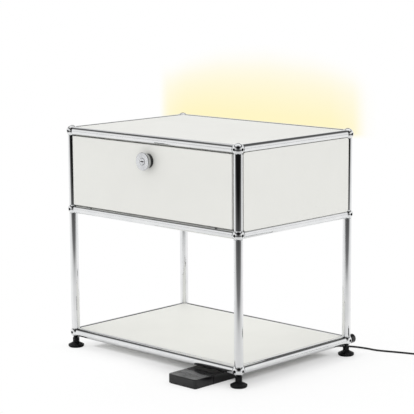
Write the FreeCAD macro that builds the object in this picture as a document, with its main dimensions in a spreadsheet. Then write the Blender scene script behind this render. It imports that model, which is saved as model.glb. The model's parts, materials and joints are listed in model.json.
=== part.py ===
import FreeCAD, Part
import Sketcher
import math
import os

# Nightstand of chromed tubes screwed to ball joints, filled in with folded sheet panels.
# A drop-down door closes the upper compartment, and a light bar sits in the upper back tube.
# A foot dimmer lies on the floor in front, with its supply lead running out behind.
# Millimetres. +Z is up, the front is -Y, and the origin is on the floor under the middle.

SIZES = {
    # Grid: distances between ball centres
    "grid_width": 500.0,
    "grid_depth": 350.0,
    "lower_height": 282.0,
    "upper_height": 175.0,
    "floor_to_grid": 34.5,
    # Balls and tubes
    "ball_diameter": 25.0,
    "hole_diameter": 6.0,
    "screw_hole_diameter": 5.0,
    "hole_floor": 4.5,
    "stud_play": 0.05,
    "stud_to_centre": 6.0,
    "tube_diameter": 19.0,
    "tube_wall": 1.0,
    "seat_gap": 0.1,
    "plug_start": 14.0,
    "plug_length": 14.0,
    "plug_play": 0.1,
    # Folded panels
    "panel_proud": 8.4,
    "panel_gap": 0.3,
    "lip_gap": 1.0,
    "lip_corner": 6.0,
    "lip_edge": 0.4,
    "panel_sheet": 1.0,
    "panel_depth": 12.0,
    "panel_bend": 1.5,
    # Door and its hinges
    "door_side_gap": 0.8,
    "door_gap_low": 1.5,
    "door_gap_top": 0.8,
    "hinge_set_back": 4.5,
    "hinge_rise": 5.5,
    "hinge_from_middle": 190.0,
    "hinge_eye": 6.4,
    "hinge_pin": 3.0,
    "pin_play": 0.08,
    "arm_width": 4.0,
    "arm_play": 0.4,
    "slot_play": 1.0,
    "leg_width": 6.0,
    "swing_gap": 1.5,
    "hinge_foot_width": 16.0,
    "hinge_foot_length": 20.0,
    "hinge_foot_height": 2.0,
    "lug_width": 3.0,
    "lug_reach": 3.6,
    "lug_top": 6.0,
    # Knob and lock
    "knob_drop": 44.5,
    "knob_diameter": 40.0,
    "knob_thickness": 10.0,
    "knob_rim": 1.4,
    "knob_taper": 2.5,
    "knob_back_edge": 1.6,
    "knob_ring": 0.9,
    "knob_reach": 18.0,
    "barrel_diameter": 31.0,
    "neck_diameter": 20.0,
    "neck_length": 12.0,
    "neck_play": 0.1,
    "nut_across": 27.0,
    "nut_height": 4.0,
    "lock_diameter": 14.0,
    "lock_play": 0.08,
    "lock_proud": 0.4,
    "lock_tail": 1.5,
    "key_slot_length": 9.5,
    "key_slot_width": 2.6,
    "key_slot_depth": 7.0,
    "cam_length": 33.0,
    "cam_width": 9.0,
    "cam_thickness": 2.0,
    "cam_screw": 4.0,
    "cam_screw_head": 8.0,
    "cam_screw_depth": 8.0,
    "strike_width": 30.0,
    "strike_drop": 20.0,
    "strike_thickness": 1.5,
    "strike_gap": 0.4,
    # Levelling feet
    "foot_diameter": 35.5,
    "foot_rim_low": 2.0,
    "foot_rim_high": 5.5,
    "foot_cone_top": 11.0,
    "foot_neck": 15.0,
    "foot_stem_across": 13.0,
    "foot_under_ball": 0.4,
    # Light bar in the upper back tube
    "light_tilt": 45.0,
    "light_end": 40.0,
    "light_slot": 11.0,
    "lens_play": 0.1,
    "lens_leg": 1.0,
    "lens_thickness": 2.5,
    "channel_level": 3.0,
    "board_width": 8.0,
    "board_thickness": 1.2,
    "chip_size": 3.0,
    "chip_height": 0.8,
    "chip_pitch": 35.0,
    # Power inlet behind the right back ball
    "inlet_diameter": 20.0,
    "inlet_start": 10.0,
    "inlet_end": 21.5,
    "inlet_cup_wall": 1.3,
    "inlet_cup_gap": 0.1,
    "inlet_bore": 5.5,
    "inlet_bore_depth": 5.0,
    # Foot dimmer
    "dimmer_middle_x": 160.5,
    "dimmer_front_y": -252.0,
    "dimmer_width": 80.0,
    "dimmer_length": 150.0,
    "dimmer_height": 20.5,
    "dimmer_corner": 7.0,
    "dimmer_edge": 1.6,
    "dimmer_wall": 2.0,
    "dimmer_base": 2.0,
    "dimmer_base_inset": 2.6,
    "base_screw": 6.0,
    "base_screw_inset": 12.0,
    "base_screw_depth": 1.2,
    "pedal_length": 54.5,
    "pedal_seam": 1.2,
    "seam_edge": 0.8,
    "pedal_boss": 8.0,
    "pedal_boss_low": 13.0,
    "switch_width": 24.0,
    "switch_top": 11.2,
    "relief_axis_z": 8.0,
    "relief_length": 28.0,
    "relief_wide": 10.0,
    "relief_narrow": 6.4,
    "relief_groove": 1.6,
    "relief_groove_depth": 0.8,
    # Supply lead
    "cord_diameter": 4.2,
    "coil_x": 432.0,
    "coil_y": 250.0,
    "coil_radius": 35.0,
    "coil_pitch": 4.75,
    "coil_turns": 8.25,
    "coil_tail": 24.0,
    "tie_sheet": 0.8,
    "tie_width": 8.0,
    "tie_gap": 0.3,
    # Mains plug
    "plug_body_length": 36.0,
    "plug_width": 35.0,
    "plug_collar": 9.0,
    "plug_edge": 2.5,
    "plug_pin_diameter": 4.0,
    "plug_pin_length": 19.0,
    "plug_pin_spacing": 18.6,
}

# Route of the lead from the dimmer to the coil, as points along its middle line.
# The last two points lie on the line on which the lead enters the coil.
CORD_FLOOR_ROUTE = [
    (159.5, -12.0),
    (162.0, 30.0),
    (159.0, 76.0),
    (152.0, 122.0),
    (156.0, 166.0),
    (176.0, 206.0),
    (212.0, 236.5),
    (253.0, 246.5),
    (278.0, 245.5),
    (315.0, 261.0),
    (354.0, 276.0),
]
CORD_STRAIGHT_OUT = 20.5
RELIEF_GROOVES = 5
CORD_INTO_COIL = 30.0
ARC_SHARE = 0.45
SAMPLE_STEP = 1.5
VOLUME_TOLERANCE = 0.005

# Expressions that several pieces share
BALL_R = "dim.ball_diameter / 2"
HOLE_R = "dim.hole_diameter / 2"
SCREW_HOLE_R = "dim.screw_hole_diameter / 2"
STUD_R = "(dim.screw_hole_diameter / 2 - dim.stud_play)"
TUBE_R = "dim.tube_diameter / 2"
BORE_R = "(dim.tube_diameter / 2 - dim.tube_wall)"
LEFT, RIGHT = "-dim.grid_width / 2", "dim.grid_width / 2"
FRONT, BACK = "-dim.grid_depth / 2", "dim.grid_depth / 2"
LOW = "dim.floor_to_grid"
MIDDLE = "(dim.floor_to_grid + dim.lower_height)"
TOP = "(dim.floor_to_grid + dim.lower_height + dim.upper_height)"
DOOR_FACE = "(-dim.grid_depth / 2 - dim.panel_proud)"
HINGE_Y = "(-dim.grid_depth / 2 - dim.panel_proud + dim.hinge_set_back)"
HINGE_Z = MIDDLE + " + dim.tube_diameter / 2 + dim.door_gap_low + dim.hinge_rise"
LOCK_R = "dim.lock_diameter / 2"
LOCK_BORE_R = "(dim.lock_diameter / 2 + dim.lock_play)"
DIMMER_REAR = "(dim.dimmer_front_y + dim.dimmer_length)"

ORIGIN = FreeCAD.Vector(0, 0, 0)
X_AXIS = FreeCAD.Vector(1, 0, 0)
Y_AXIS = FreeCAD.Vector(0, 1, 0)
Z_AXIS = FreeCAD.Vector(0, 0, 1)

doc = FreeCAD.newDocument("nightstand")
sheet = doc.addObject("Spreadsheet::Sheet", "dim")
for row, (alias, number) in enumerate(SIZES.items(), start=1):
    sheet.set(f"A{row}", alias)
    sheet.set(f"B{row}", str(number))
    sheet.setAlias(f"B{row}", alias)
doc.recompute()

nodes = []


def size(alias):
    """The sheet's number for one size."""
    return float(getattr(sheet, alias))


def as_node(piece, label):
    """Marks an object as a finished sub-part with its own file."""
    piece.Label = label
    nodes.append(piece)
    return piece


def bind(piece, **expressions):
    """Binds properties of an object to sizes in the sheet."""
    for name, expression in expressions.items():
        piece.setExpression(name, expression)
    return piece


def facing(along):
    """The turn that points a piece's own Z axis along a direction, with its own Y axis up where it can."""
    up = Z_AXIS if abs(along.z) < 0.5 else Y_AXIS
    return FreeCAD.Rotation(up.cross(along), up, along, "ZYX")


def place(piece, x="0", y="0", z="0", turn=None):
    """Places an object by expressions, after turning it."""
    if turn is not None:
        piece.Placement = FreeCAD.Placement(ORIGIN, turn)
    for axis, expression in zip("xyz", (x, y, z)):
        piece.setExpression("Placement.Base." + axis, expression)
    return piece


def box(name, length, width, height, x="0", y="0", z="0"):
    piece = doc.addObject("Part::Box", name)
    bind(piece, Length=length, Width=width, Height=height)
    return place(piece, x, y, z)


def cylinder(name, radius, height, x="0", y="0", z="0", along=Z_AXIS):
    piece = doc.addObject("Part::Cylinder", name)
    bind(piece, Radius=radius, Height=height)
    return place(piece, x, y, z, facing(along))


def cone(name, first_radius, last_radius, height, x="0", y="0", z="0", along=Z_AXIS):
    piece = doc.addObject("Part::Cone", name)
    bind(piece, Radius1=first_radius, Radius2=last_radius, Height=height)
    return place(piece, x, y, z, facing(along))


def fuse(name, *pieces):
    result = doc.addObject("Part::MultiFuse", name)
    result.Shapes = list(pieces)
    return result


def cut(name, base, *tools):
    """The base less the tools, which are joined first where there are several."""
    result = doc.addObject("Part::Cut", name)
    result.Base = base
    result.Tool = tools[0] if len(tools) == 1 else fuse(name + "_tools", *tools)
    return result


def common(name, base, tool):
    result = doc.addObject("Part::Common", name)
    result.Base = base
    result.Tool = tool
    return result


def group(label, pieces):
    """One node of several separate solids."""
    result = doc.addObject("Part::Compound", label)
    result.Links = list(pieces)
    return as_node(result, label)


def copies(label, masters, places):
    """One node of like solids: the shape of each master at its place."""
    solids = []
    for master, where in zip(masters, places):
        solid = master.Shape.copy()
        solid.Placement = where
        solids.append(solid)
    result = doc.addObject("Part::Feature", label)
    result.Shape = Part.Compound(solids)
    return as_node(result, label)


def new_body(name):
    return doc.addObject("PartDesign::Body", name)


def outline(body, plane, points, name="outline"):
    """A closed sketch of straight lines through points, given as pairs of expressions."""
    sketch = body.newObject("Sketcher::SketchObject", body.Name + "_" + name)
    support = next(f for f in body.Origin.OriginFeatures if f.Role == plane)
    sketch.AttachmentSupport = [(support, "")]
    sketch.MapMode = "FlatFace"
    count = len(points)
    rough = []
    for i in range(count):
        angle = 2 * math.pi * i / count
        rough.append(FreeCAD.Vector(math.cos(angle), math.sin(angle), 0))
    for i in range(count):
        sketch.addGeometry(Part.LineSegment(rough[i], rough[(i + 1) % count]), False)
    for i in range(count):
        sketch.addConstraint(Sketcher.Constraint("Coincident", i, 2, (i + 1) % count, 1))
    for i, (across, up) in enumerate(points):
        for kind, expression in (("DistanceX", across), ("DistanceY", up)):
            start = rough[i].x if kind == "DistanceX" else rough[i].y
            index = sketch.addConstraint(Sketcher.Constraint(kind, -1, 1, i, 1, start))
            sketch.setExpression(f"Constraints[{index}]", expression)
    return sketch


def rectangle(left, right, low, high):
    return [(left, low), (right, low), (right, high), (left, high)]


def pad(body, sketch, length, name="pad"):
    feature = body.newObject("PartDesign::Pad", body.Name + "_" + name)
    feature.Profile = sketch
    return bind(feature, Length=length)


def pocket(body, sketch, depth, name="pocket", upwards=False):
    """A pocket from the sketch's plane, against its normal or, upwards, along it."""
    doc.recompute()
    before = body.Shape.Volume
    feature = body.newObject("PartDesign::Pocket", body.Name + "_" + name)
    feature.Profile = sketch
    feature.Reversed = upwards
    bind(feature, Length=depth)
    doc.recompute()
    if body.Shape.Volume >= before:
        raise ValueError(f"{feature.Name} cut nothing")
    return feature


def revolve(body, sketch):
    feature = body.newObject("PartDesign::Revolution", body.Name + "_turned")
    feature.Profile = sketch
    feature.ReferenceAxis = (sketch, ["V_Axis"])
    feature.Angle = 360
    return feature


def turned(name, profile):
    """A body turned about its own Z axis, from (radius, height) points."""
    body = new_body(name)
    revolve(body, outline(body, "XZ_Plane", profile))
    return body


def round_edges(body, base, radius, wanted, name="rounded"):
    """Rounds the edges of a feature for which wanted(edge, box of the shape) holds."""
    doc.recompute()
    bounds = base.Shape.BoundBox
    names = []
    for number, edge in enumerate(base.Shape.Edges, start=1):
        if wanted(edge, bounds):
            names.append(f"Edge{number}")
    feature = body.newObject("PartDesign::Fillet", body.Name + "_" + name)
    feature.Base = (base, names)
    return bind(feature, Radius=radius)


def is_upright(edge):
    return edge.BoundBox.ZLength > edge.BoundBox.XLength + edge.BoundBox.YLength


def is_on_top(edge, bounds):
    return abs(edge.BoundBox.ZMin - bounds.ZMax) < 1e-6


def is_lowest(edge, bounds):
    return abs(edge.BoundBox.ZMax - bounds.ZMin) < 1e-6


def is_outermost(edge, bounds):
    return edge.BoundBox.XLength > 0.95 * bounds.XLength


def is_lip_corner(edge, bounds):
    """An upright edge at a corner of the shape's outline."""
    corner = abs(abs(edge.BoundBox.Center.x) - bounds.XMax) + abs(abs(edge.BoundBox.Center.y) - bounds.YMax)
    return is_upright(edge) and corner < 1e-6


# Balls, tubes and what screws them together


def ball_master(name, used):
    """A ball with six blind holes, of which the used ones are tapped for the screws that they hold."""
    ball = doc.addObject("Part::Sphere", name + "_sphere")
    bind(ball, Radius=BALL_R)
    holes = []
    for letter, along in zip("xyz", (X_AXIS, Y_AXIS, Z_AXIS)):
        for sign, way in (("+", along), ("-", -along)):
            radius = SCREW_HOLE_R if sign + letter in used else HOLE_R
            hole = cylinder(f"{name}_hole_{len(holes)}", radius, BALL_R, along=way)
            holes.append(place(hole, **{letter: f"{sign}dim.hole_floor"}))
    return cut(name, ball, *holes)


def make_balls():
    """Each master is made for the right back corner, and turned for the others."""
    upper = ball_master("ball_upper", ("-x", "-y", "-z"))
    lower = ball_master("ball_lower", ("-x", "-y", "-z", "+z"))
    with_inlet = ball_master("ball_with_inlet", ("-x", "-y", "-z", "+z", "+y"))
    doc.recompute()
    quarter_turns = {(True, True): 0, (False, True): 90, (False, False): 180, (True, False): 270}
    for level, height in (("top", top), ("middle", middle), ("bottom", low)):
        masters, places = [], []
        for x, y in corners:
            quarter = quarter_turns[x > 0, y > 0]
            holds_inlet = level == "bottom" and quarter == 0
            masters.append(upper if level == "top" else with_inlet if holds_inlet else lower)
            turn = FreeCAD.Rotation(Z_AXIS, quarter)
            places.append(FreeCAD.Placement(FreeCAD.Vector(x, y, height), turn))
        copies("balls_" + level, masters, places)


def tube_profile(length):
    """Half of a tube's section. Its inner edge seats on the ball, its chamfer clears the tubes across it."""
    outer_seat = f"{TUBE_R} + dim.seat_gap"
    inner_seat = f"sqrt(({BALL_R})^2 - {BORE_R}^2) + dim.seat_gap"
    return [
        (TUBE_R, outer_seat),
        (TUBE_R, f"{length} - ({outer_seat})"),
        (BORE_R, f"{length} - ({inner_seat})"),
        (BORE_R, inner_seat),
    ]


def make_tubes():
    levels = (("top", TOP), ("middle", MIDDLE), ("bottom", LOW))
    for level, height in levels:
        for side, y in (("front", FRONT), ("back", BACK)):
            if (level, side) != ("top", "back"):
                rail = turned(f"tube_{level}_{side}", tube_profile("dim.grid_width"))
                as_node(place(rail, LEFT, y, height, facing(X_AXIS)), f"tube_{level}_{side}")
        for side, x in (("left", LEFT), ("right", RIGHT)):
            rail = turned(f"tube_{level}_{side}", tube_profile("dim.grid_depth"))
            as_node(place(rail, x, FRONT, height, facing(Y_AXIS)), f"tube_{level}_{side}")
    for storey, start, length in (
        ("lower", LOW, "dim.lower_height"),
        ("upper", MIDDLE, "dim.upper_height"),
    ):
        for depth_side, y in (("front", FRONT), ("back", BACK)):
            for width_side, x in (("left", LEFT), ("right", RIGHT)):
                name = f"leg_{storey}_{depth_side}_{width_side}"
                as_node(place(turned(name, tube_profile(length)), x, y, start), name)


def make_connectors():
    """A stud in the ball and a plug in the tube's bore at each end of each tube."""
    stud_length = "dim.plug_start - dim.stud_to_centre"
    stud = cylinder("connector_stud", STUD_R, stud_length, z="dim.stud_to_centre")
    plug = cylinder("connector_plug", BORE_R + " - dim.plug_play", "dim.plug_length", z="dim.plug_start")
    master = fuse("connector", stud, plug)
    doc.recompute()
    places = []
    for height in (low, middle, top):
        for x, y in corners:
            centre = FreeCAD.Vector(x, y, height)
            inwards = [FreeCAD.Vector(-math.copysign(1, x), 0, 0), FreeCAD.Vector(0, -math.copysign(1, y), 0)]
            if height > low:
                inwards.append(-Z_AXIS)
            if height < top:
                inwards.append(Z_AXIS)
            places += [FreeCAD.Placement(centre, facing(along)) for along in inwards]
    copies("tube_connectors", [master] * len(places), places)


# Folded panels


def tray(name, width, height, lip=None):
    """A sheet folded back on four sides. Its outer face looks along its own +Z, its open side is at 0.

    With a lip, the sheet reaches further out than the fold, over the sides of the tubes."""
    body = new_body(name)
    half_width, half_height = f"({width}) / 2", f"({height}) / 2"
    blank = rectangle(f"-{half_width}", half_width, f"-{half_height}", half_height)
    block = pad(body, outline(body, "XY_Plane", blank), "dim.panel_depth")
    round_edges(body, block, "dim.panel_bend", lambda e, b: is_upright(e) or is_on_top(e, b))
    inner_width, inner_height = f"({half_width} - dim.panel_sheet)", f"({half_height} - dim.panel_sheet)"
    hollow = rectangle(f"-{inner_width}", inner_width, f"-{inner_height}", inner_height)
    depth = "dim.panel_depth - dim.panel_sheet"
    pocket(body, outline(body, "XY_Plane", hollow, "hollow"), depth, "hollowed", upwards=True)
    if lip:
        face_width, face_height = f"({half_width} + {lip})", f"({half_height} + {lip})"
        face = rectangle(f"-{face_width}", face_width, f"-{face_height}", face_height)
        level = outline(body, "XY_Plane", face, "face")
        bind(level, **{"AttachmentOffset.Base.z": depth})
        sheet = pad(body, level, "dim.panel_sheet", "lip")
        sheet = round_edges(body, sheet, "dim.lip_corner", is_lip_corner, "lip_corners")
        round_edges(body, sheet, "dim.lip_edge", is_on_top, "lip_edges")
    return body


def make_panels():
    edge = "2 * (dim.tube_diameter / 2 + dim.panel_gap)"
    across, deep = f"dim.grid_width - {edge}", f"dim.grid_depth - {edge}"
    tall = f"dim.upper_height - {edge}"
    sink = "dim.panel_proud - dim.panel_depth"
    under_lip = f"sqrt(({TUBE_R})^2 - (dim.panel_proud - dim.panel_sheet)^2)"
    lip = f"({TUBE_R} + dim.panel_gap - {under_lip} - dim.lip_gap)"
    storey = f"({MIDDLE} + dim.upper_height / 2)"
    for name, height in (("top_panel", TOP), ("compartment_floor", MIDDLE), ("bottom_shelf", LOW)):
        as_node(place(tray(name, across, deep, lip), z=f"{height} + {sink}"), name)
    right = place(tray("right_panel", deep, tall, lip), f"{RIGHT} + {sink}", "0", storey, facing(X_AXIS))
    as_node(right, "right_panel")
    left = place(tray("left_panel", deep, tall, lip), f"{LEFT} - ({sink})", "0", storey, facing(-X_AXIS))
    as_node(left, "left_panel")
    back = place(tray("back_panel", across, tall, lip), "0", f"{BACK} + {sink}", storey, facing(Y_AXIS))
    as_node(back, "back_panel")


# Door, hinges, knob and lock


def make_door():
    width = "dim.grid_width - 2 * (dim.tube_diameter / 2 + dim.door_side_gap)"
    height = "dim.upper_height - dim.tube_diameter - dim.door_gap_low - dim.door_gap_top"
    door = tray("door_tray", width, height)
    slot_half = "(dim.arm_width / 2 + dim.slot_play)"
    edge = f"({height}) / 2"
    for side, x in (("left", "-dim.hinge_from_middle"), ("right", "dim.hinge_from_middle")):
        slot_low, slot_high = f"-{edge} - 1", f"-{edge} + dim.panel_sheet"
        slot = rectangle(f"{x} - {slot_half}", f"{x} + {slot_half}", slot_low, slot_high)
        sketch = outline(door, "XY_Plane", slot, "slot_" + side)
        pocket(door, sketch, "dim.panel_depth - dim.panel_sheet", "slotted_" + side, upwards=True)
    middle_z = f"{MIDDLE} + (dim.upper_height + dim.door_gap_low - dim.door_gap_top) / 2"
    open_side = f"{DOOR_FACE} + dim.panel_depth"
    place(door, "0", open_side, middle_z, facing(-Y_AXIS))
    hole_r = "dim.neck_diameter / 2 + dim.neck_play"
    hole = cylinder("door_hole", hole_r, "2 * dim.panel_depth", "0", DOOR_FACE + " - 1", KNOB_Z, Y_AXIS)
    as_node(cut("door_drilled", door, hole), "door_panel")


def make_hinges():
    """Arms on the compartment floor carry the door's pins, which sit in lugs inside the door."""
    eye_r = "dim.hinge_eye / 2"
    rear_corner = "sqrt((dim.panel_depth - dim.hinge_set_back)^2 + dim.hinge_rise^2)"
    leg_near = f"({rear_corner} + dim.swing_gap)"
    drop = "(dim.tube_diameter / 2 + dim.door_gap_low + dim.hinge_rise - dim.panel_proud)"
    brackets, lugs, pins = [], [], []
    for side, x in (("left", "-dim.hinge_from_middle"), ("right", "dim.hinge_from_middle")):
        arm_start = f"{x} - dim.arm_width / 2"
        leg_y = f"{HINGE_Y} + {leg_near}"
        floor_z = f"{HINGE_Z} - {drop}"
        eye = cylinder("eye_" + side, eye_r, "dim.arm_width", arm_start, HINGE_Y, HINGE_Z, X_AXIS)
        reach = f"{leg_near} + dim.leg_width"
        arm = box("arm_" + side, "dim.arm_width", reach, "dim.hinge_eye",
                  arm_start, HINGE_Y, f"{HINGE_Z} - {eye_r}")
        leg = box("leg_" + side, "dim.arm_width", "dim.leg_width", f"{drop} + {eye_r}",
                  arm_start, leg_y, floor_z)
        foot_x = f"{x} - dim.hinge_foot_width / 2"
        foot = box("hinge_foot_" + side, "dim.hinge_foot_width", "dim.hinge_foot_length",
                   "dim.hinge_foot_height", foot_x, leg_y, floor_z)
        whole = fuse("bracket_" + side, eye, arm, leg, foot)
        bore = cylinder("eye_bore_" + side, "dim.hinge_pin / 2 + dim.pin_play", "dim.hinge_foot_width",
                        foot_x, HINGE_Y, HINGE_Z, X_AXIS)
        brackets.append(cut("bracket_bored_" + side, whole, bore))
        inner = "(dim.arm_width / 2 + dim.arm_play)"
        for which, start in (("outer", f"{x} + {inner}"), ("inner", f"{x} - {inner} - dim.lug_width")):
            front = "(dim.hinge_set_back - dim.panel_sheet)"
            under = "(dim.hinge_rise - dim.panel_sheet)"
            lug = box(f"lug_{side}_{which}", "dim.lug_width", f"{front} + dim.lug_reach",
                      f"{under} + dim.lug_top", start, f"{HINGE_Y} - {front}", f"{HINGE_Z} - {under}")
            bore = cylinder(f"lug_bore_{side}_{which}", "dim.hinge_pin / 2 + dim.pin_play / 4",
                            "2 * dim.lug_width", f"{start} - dim.lug_width / 2", HINGE_Y, HINGE_Z, X_AXIS)
            lugs.append(cut(f"lug_bored_{side}_{which}", lug, bore))
        half_pin = f"({inner} + dim.lug_width - dim.arm_play / 2)"
        pins.append(cylinder("pin_" + side, "dim.hinge_pin / 2", f"2 * {half_pin}", f"{x} - {half_pin}",
                             HINGE_Y, HINGE_Z, X_AXIS))
    group("hinge_brackets", brackets)
    group("door_hinge_lugs", lugs)
    group("hinge_pins", pins)


def make_knob():
    """A barrel that passes through the door, a round cap on it, and a nut behind the door sheet."""
    cap_start = "(dim.knob_reach - dim.knob_thickness)"
    neck_r = "dim.neck_diameter / 2"
    neck_end = "-(dim.panel_sheet + dim.neck_length)"
    barrel = turned("knob_barrel", [
        (LOCK_BORE_R, neck_end),
        (neck_r, neck_end),
        (neck_r, "0"),
        ("dim.barrel_diameter / 2", "0"),
        ("dim.barrel_diameter / 2", cap_start),
        (LOCK_BORE_R, cap_start),
    ])
    as_node(place(barrel, "0", DOOR_FACE, KNOB_Z, facing(-Y_AXIS)), "knob_barrel")
    cap_r = "dim.knob_diameter / 2"
    back_r = f"{cap_r} - dim.knob_taper"
    cap = new_body("knob_cap")
    disc = revolve(cap, outline(cap, "XZ_Plane", [
        (LOCK_BORE_R, cap_start),
        (back_r + " - dim.knob_back_edge", cap_start),
        (back_r, cap_start + " + dim.knob_back_edge"),
        (cap_r, "dim.knob_reach"),
        (LOCK_BORE_R + " + dim.knob_ring", "dim.knob_reach"),
        (LOCK_BORE_R, "dim.knob_reach - dim.knob_ring"),
    ]))
    round_edges(cap, disc, "dim.knob_rim", lambda e, b: is_on_top(e, b) and is_outermost(e, b), "rim")
    as_node(place(cap, "0", DOOR_FACE, KNOB_Z, facing(-Y_AXIS)), "knob_cap")
    nut = doc.addObject("Part::Prism", "nut_blank")
    nut.Polygon = 6
    bind(nut, Circumradius="dim.nut_across / sqrt(3)", Height="dim.nut_height")
    nut_y = f"{DOOR_FACE} + dim.panel_sheet"
    place(nut, "0", nut_y, KNOB_Z, facing(Y_AXIS))
    bore_r = neck_r + " + dim.neck_play"
    bore = cylinder("nut_bore", bore_r, "3 * dim.nut_height",
                    "0", f"{nut_y} - dim.nut_height", KNOB_Z, Y_AXIS)
    as_node(cut("nut_bored", nut, bore), "knob_nut")


def make_lock():
    """The key plug turns in the knob, with a cam on its tail that reaches up behind the strike."""
    tail = "(dim.panel_sheet + dim.neck_length + dim.lock_tail)"
    front_y = f"{DOOR_FACE} - dim.knob_reach - dim.lock_proud"
    length = f"dim.knob_reach + dim.lock_proud + {tail}"
    plug = cylinder("key_plug", LOCK_R, length, "0", front_y, KNOB_Z, Y_AXIS)
    slot_low = f"{KNOB_Z} - dim.key_slot_width / 2"
    slot = box("key_slot", "dim.key_slot_length", "2 * dim.key_slot_depth", "dim.key_slot_width",
               "-dim.key_slot_length / 2", f"{front_y} - dim.key_slot_depth", slot_low)
    tail_y = f"{DOOR_FACE} + {tail}"
    thread_start = f"{tail_y} - dim.cam_screw_depth"
    thread = cylinder("cam_thread", "dim.cam_screw / 2 + dim.stud_play", "2 * dim.cam_screw_depth", "0",
                      thread_start, KNOB_Z, Y_AXIS)
    as_node(cut("key_plug_cut", plug, slot, thread), "lock_plug")
    cam_r = "dim.cam_width / 2"
    cam_arm = box("cam_arm", f"dim.cam_length - {cam_r}", "dim.cam_thickness", "dim.cam_width",
                  "0", tail_y, f"{KNOB_Z} - {cam_r}")
    cam_root = cylinder("cam_root", cam_r, "dim.cam_thickness", "0", tail_y, KNOB_Z, Y_AXIS)
    cam_tip = cylinder("cam_tip", cam_r, "dim.cam_thickness",
                       f"dim.cam_length - {cam_r}", tail_y, KNOB_Z, Y_AXIS)
    as_node(cut("cam_drilled", fuse("cam", cam_arm, cam_root, cam_tip), thread), "lock_cam")
    shank_length = "dim.cam_screw_depth + dim.cam_thickness"
    shank = cylinder("cam_shank", "dim.cam_screw / 2", shank_length, "0", thread_start, KNOB_Z, Y_AXIS)
    head_y = f"{tail_y} + dim.cam_thickness"
    head = cylinder("cam_head", "dim.cam_screw_head / 2", "dim.cam_screw / 2", "0", head_y, KNOB_Z, Y_AXIS)
    as_node(fuse("cam_screw", shank, head), "lock_cam_screw")


def make_strike():
    """A tab behind the upper front tube, which the turned cam catches."""
    near = f"{DOOR_FACE} + dim.panel_depth + dim.strike_gap"
    tab = box("strike_tab", "dim.strike_width", "dim.strike_thickness", "dim.strike_drop",
              "-dim.strike_width / 2", near, f"{TOP} - dim.strike_drop")
    around = cylinder("strike_seat", f"{TUBE_R} + dim.seat_gap", "2 * dim.strike_width", "-dim.strike_width",
                      FRONT, TOP, X_AXIS)
    as_node(cut("strike_fitted", tab, around), "lock_strike")


# Levelling feet


def make_feet():
    ball_under = f"({LOW} - {BALL_R})"
    stem_top = f"{ball_under} - dim.foot_under_ball"
    rim_r = "dim.foot_diameter / 2"
    for depth_side, y in (("front", FRONT), ("back", BACK)):
        for width_side, x in (("left", LEFT), ("right", RIGHT)):
            side = f"{depth_side}_{width_side}"
            base = turned("foot_base_" + side, [
                ("0", "0"),
                (rim_r + " - dim.foot_rim_low", "0"),
                (rim_r, "dim.foot_rim_low"),
                (rim_r, "dim.foot_rim_high"),
                ("dim.foot_neck / 2", "dim.foot_cone_top"),
                ("0", "dim.foot_cone_top"),
            ])
            place(base, x, y)
            stem = doc.addObject("Part::Prism", "foot_stem_" + side)
            stem.Polygon = 6
            bind(stem, Circumradius="dim.foot_stem_across / sqrt(3)", Height=stem_top)
            stem.setExpression("Height", f"{stem_top} - dim.foot_rim_high")
            place(stem, x, y, "dim.foot_rim_high")
            stud_top = f"{LOW} - dim.stud_to_centre"
            stud_length = f"{stud_top} - dim.foot_rim_high"
            stud = cylinder("foot_stud_" + side, STUD_R, stud_length, x, y, "dim.foot_rim_high")
            as_node(fuse("foot_" + side, base, stem, stud), "foot_" + side)


# Light bar


def make_light():
    """The upper back tube has a slot along it for a lens, with the LED board on a channel inside."""
    tilt = math.radians(size("light_tilt"))
    outwards = FreeCAD.Vector(0, math.cos(tilt), math.sin(tilt))
    turn = FreeCAD.Rotation(outwards, X_AXIS.cross(outwards), X_AXIS, "ZXY")
    tube = turned("light_tube", tube_profile("dim.grid_width"))
    half_slot = "dim.light_slot / 2"
    window = rectangle(f"-{half_slot}", half_slot, "dim.light_end", "dim.grid_width - dim.light_end")
    sketch = outline(tube, "YZ_Plane", window, "window")
    pocket(tube, sketch, "dim.tube_diameter", "slotted", upwards=True)
    as_node(place(tube, LEFT, BACK, TOP, turn), "light_tube")

    start = "(dim.light_end + dim.lens_play)"
    length = "(dim.grid_width - 2 * dim.light_end - 2 * dim.lens_play)"

    def along_tube(name, radius):
        return cylinder(name, radius, length, z=start)

    def strip(name, low_x, thickness, width):
        return box(name, thickness, width, length, low_x, f"-({width}) / 2", start)

    def laid(label, *pieces):
        return place(group(label, pieces), LEFT, BACK, TOP, turn)

    lens_width = "dim.light_slot - 2 * dim.lens_play"
    lens_blank = strip("lens_blank", "dim.channel_level", "dim.tube_diameter", lens_width)
    lens_full = common("lens_full", along_tube("lens_round", TUBE_R), lens_blank)
    under = f"{TUBE_R} - dim.lens_thickness - dim.channel_level"
    inside = strip("lens_inside", "dim.channel_level", under, f"{lens_width} - 2 * dim.lens_leg")
    laid("light_lens", cut("lens", lens_full, inside))
    channel_r = BORE_R + " - dim.plug_play"
    above = strip("channel_above", "dim.channel_level", "dim.tube_diameter", "2 * dim.tube_diameter")
    laid("light_channel", cut("channel", along_tube("channel_round", channel_r), above))
    laid("light_board", strip("board", "dim.channel_level", "dim.board_thickness", "dim.board_width"))
    chip_x = "dim.channel_level + dim.board_thickness"
    usable = size("grid_width") - 2 * size("light_end")
    chip_count = int(usable // size("chip_pitch"))
    chips = []
    for i in range(chip_count):
        chip_z = f"dim.grid_width / 2 + ({i} - {chip_count - 1} / 2) * dim.chip_pitch - dim.chip_size / 2"
        chips.append(box(f"chip_{i}", "dim.chip_height", "dim.chip_size", "dim.chip_size",
                         chip_x, "-dim.chip_size / 2", chip_z))
    laid("light_chips", *chips)


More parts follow.
